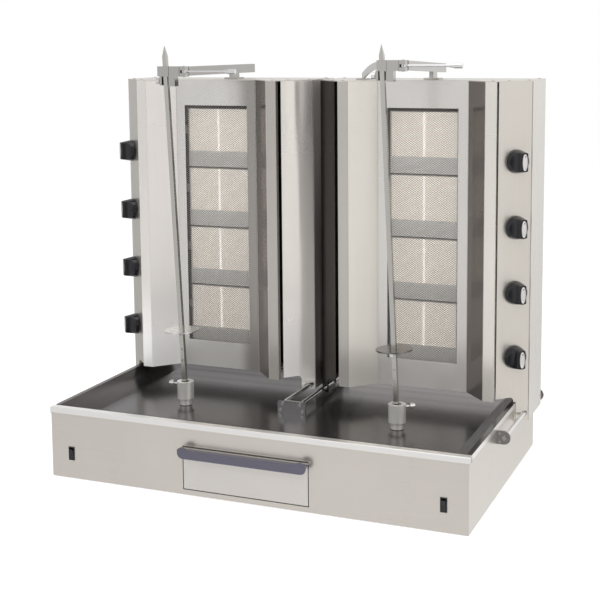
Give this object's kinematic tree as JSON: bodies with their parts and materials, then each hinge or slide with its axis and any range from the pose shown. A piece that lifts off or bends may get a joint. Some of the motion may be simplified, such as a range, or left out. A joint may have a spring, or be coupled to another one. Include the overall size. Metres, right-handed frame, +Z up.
{
  "type": "twin gas doner grill",
  "caption": "Countertop stainless doner grill: two upright towers of ceramic gas burners, each facing a driven vertical skewer, on a low base with drip tray and fat drawer.",
  "frame": {"origin": "middle of the part's box on the surface it stands on", "axes": "+X to the right seen from the front, +Y to the back, +Z up; the drawer and switches face -Y"},
  "size_m": [1.04, 0.632, 0.9792],
  "materials": {
    "stainless": "fine brushed stainless sheet",
    "polished_stainless": "polished stainless sheet",
    "tray_steel": "half-mirror stainless that reads dark",
    "chrome": "polished chrome",
    "black_plastic": "black moulded plastic",
    "rubber": "black rubber",
    "motor_grey": "grey enamel",
    "burner_steel": "heat-darkened pressed steel",
    "ceramic": "pale drilled ceramic tile",
    "mesh_steel": "expanded stainless mesh",
    "brass": "plain brass"
  },
  "bodies": {
    "base": {"base_cabinet": "stainless", "bottom_plate": "stainless", "feet": "rubber", "drip_tray": "tray_steel", "drawer_runners": "stainless", "gear_motors": "motor_grey", "switch_housings": "black_plastic", "rod_brackets": "chrome", "guide_rods": "chrome", "bracket_screws": "chrome"},
    "drawer": {"drawer_box": "stainless", "drawer_front": "polished_stainless"},
    "rocker_left": {"rocker_left": "black_plastic"},
    "drive_left": {"boss_left": "chrome"},
    "drive_screw_left": {"boss_screw_left": "chrome"},
    "spit_left": {"skewer_left": "polished_stainless", "disc_left": "polished_stainless", "disc_pin_left": "chrome"},
    "tower_left": {"casing_left": "stainless", "knob_panel_left": "polished_stainless", "wings_left": "polished_stainless", "burner_frame_left": "polished_stainless", "burners_left": "burner_steel", "plaques_left": "ceramic", "mesh_left": "mesh_steel", "manifold_left": "brass", "cover_left": "stainless"},
    "knob_left_1": {"knob_left_1": "black_plastic"},
    "knob_left_2": {"knob_left_2": "black_plastic"},
    "knob_left_3": {"knob_left_3": "black_plastic"},
    "knob_left_4": {"knob_left_4": "black_plastic"},
    "arm_left": {"arm_left": "polished_stainless", "clamp_head_left": "polished_stainless"},
    "clamp_screw_left": {"clamp_screw_left": "chrome"},
    "lever_left": {"lever_left": "chrome"},
    "rocker_right": {"rocker_right": "black_plastic"},
    "drive_right": {"boss_right": "chrome"},
    "drive_screw_right": {"boss_screw_right": "chrome"},
    "spit_right": {"skewer_right": "polished_stainless", "disc_right": "polished_stainless", "disc_pin_right": "chrome"},
    "tower_right": {"casing_right": "stainless", "knob_panel_right": "polished_stainless", "wings_right": "polished_stainless", "burner_frame_right": "polished_stainless", "burners_right": "burner_steel", "plaques_right": "ceramic", "mesh_right": "mesh_steel", "manifold_right": "brass", "cover_right": "stainless"},
    "knob_right_1": {"knob_right_1": "black_plastic"},
    "knob_right_2": {"knob_right_2": "black_plastic"},
    "knob_right_3": {"knob_right_3": "black_plastic"},
    "knob_right_4": {"knob_right_4": "black_plastic"},
    "arm_right": {"arm_right": "polished_stainless", "clamp_head_right": "polished_stainless"},
    "clamp_screw_right": {"clamp_screw_right": "chrome"},
    "lever_right": {"lever_right": "chrome"}
  },
  "joints": [
    {"name": "drawer_slide", "type": "slide", "parent": "base", "child": "drawer", "axis": [0, -1, 0], "range_m": [0, 0.26]},
    {"name": "switch_left", "type": "hinge", "parent": "base", "child": "rocker_left", "pos_m": [-0.438, -0.291, 0.0595], "axis": [1, 0, 0], "range_deg": [-16, 0]},
    {"name": "drive_left_spin", "type": "hinge", "parent": "base", "child": "drive_left", "pos_m": [-0.2645, -0.064, 0.15], "axis": [0, 0, 1], "continuous": true},
    {"name": "drive_screw_left_turn", "type": "hinge", "parent": "drive_left", "child": "drive_screw_left", "pos_m": [-0.2645, -0.064, 0.178], "axis": [-1, 0, 0], "continuous": true},
    {"name": "spit_left_spin", "type": "hinge", "parent": "base", "child": "spit_left", "pos_m": [-0.2645, -0.064, 0.15], "axis": [-0.0436, 0, 0.999], "continuous": true},
    {"name": "tower_left_slide", "type": "slide", "parent": "base", "child": "tower_left", "axis": [0, -1, 0], "range_m": [0, 0.09]},
    {"name": "knob_left_1_turn", "type": "hinge", "parent": "tower_left", "child": "knob_left_1", "pos_m": [-0.48684, 0.10553, 0.7175], "axis": [-0.7193, -0.6947, 0], "range_deg": [0, 210]},
    {"name": "knob_left_2_turn", "type": "hinge", "parent": "tower_left", "child": "knob_left_2", "pos_m": [-0.48684, 0.10553, 0.569], "axis": [-0.7193, -0.6947, 0], "range_deg": [0, 210]},
    {"name": "knob_left_3_turn", "type": "hinge", "parent": "tower_left", "child": "knob_left_3", "pos_m": [-0.48684, 0.10553, 0.4205], "axis": [-0.7193, -0.6947, 0], "range_deg": [0, 210]},
    {"name": "knob_left_4_turn", "type": "hinge", "parent": "tower_left", "child": "knob_left_4", "pos_m": [-0.48684, 0.10553, 0.272], "axis": [-0.7193, -0.6947, 0], "range_deg": [0, 210]},
    {"name": "arm_left_slide", "type": "slide", "parent": "tower_left", "child": "arm_left", "axis": [0, -1, 0], "range_m": [-0.09, 0]},
    {"name": "clamp_screw_left_turn", "type": "hinge", "parent": "arm_left", "child": "clamp_screw_left", "pos_m": [-0.297, -0.064, 0.898], "axis": [-1, 0, 0], "continuous": true},
    {"name": "lever_left_swing", "type": "hinge", "parent": "arm_left", "child": "lever_left", "pos_m": [-0.2515, -0.064, 0.92], "axis": [0, 0, 1], "range_deg": [-60, 25]},
    {"name": "switch_right", "type": "hinge", "parent": "base", "child": "rocker_right", "pos_m": [0.438, -0.291, 0.0595], "axis": [1, 0, 0], "range_deg": [-16, 0]},
    {"name": "drive_right_spin", "type": "hinge", "parent": "base", "child": "drive_right", "pos_m": [0.2645, -0.064, 0.15], "axis": [0, 0, 1], "continuous": true},
    {"name": "drive_screw_right_turn", "type": "hinge", "parent": "drive_right", "child": "drive_screw_right", "pos_m": [0.2645, -0.064, 0.178], "axis": [0.766, 0.6428, 0], "continuous": true},
    {"name": "spit_right_spin", "type": "hinge", "parent": "base", "child": "spit_right", "pos_m": [0.2645, -0.064, 0.15], "axis": [-0.0436, 0, 0.999], "continuous": true},
    {"name": "tower_right_slide", "type": "slide", "parent": "base", "child": "tower_right", "axis": [0, -1, 0], "range_m": [0, 0.09]},
    {"name": "knob_right_1_turn", "type": "hinge", "parent": "tower_right", "child": "knob_right_1", "pos_m": [0.48684, 0.10553, 0.7175], "axis": [0.7193, -0.6947, 0], "range_deg": [0, 210]},
    {"name": "knob_right_2_turn", "type": "hinge", "parent": "tower_right", "child": "knob_right_2", "pos_m": [0.48684, 0.10553, 0.569], "axis": [0.7193, -0.6947, 0], "range_deg": [0, 210]},
    {"name": "knob_right_3_turn", "type": "hinge", "parent": "tower_right", "child": "knob_right_3", "pos_m": [0.48684, 0.10553, 0.4205], "axis": [0.7193, -0.6947, 0], "range_deg": [0, 210]},
    {"name": "knob_right_4_turn", "type": "hinge", "parent": "tower_right", "child": "knob_right_4", "pos_m": [0.48684, 0.10553, 0.272], "axis": [0.7193, -0.6947, 0], "range_deg": [0, 210]},
    {"name": "arm_right_slide", "type": "slide", "parent": "tower_right", "child": "arm_right", "axis": [0, -1, 0], "range_m": [-0.09, 0]},
    {"name": "clamp_screw_right_turn", "type": "hinge", "parent": "arm_right", "child": "clamp_screw_right", "pos_m": [0.232, -0.064, 0.911], "axis": [-1, 0, 0], "continuous": true},
    {"name": "lever_right_swing", "type": "hinge", "parent": "arm_right", "child": "lever_right", "pos_m": [0.2775, -0.064, 0.933], "axis": [0, 0, 1], "range_deg": [-60, 25]}
  ],
  "couplings": [
    {"joint": "spit_left_spin", "follows": "drive_left_spin", "ratio": 1},
    {"joint": "arm_left_slide", "follows": "tower_left_slide", "ratio": -1},
    {"joint": "spit_right_spin", "follows": "drive_right_spin", "ratio": 1},
    {"joint": "arm_right_slide", "follows": "tower_right_slide", "ratio": -1}
  ]
}
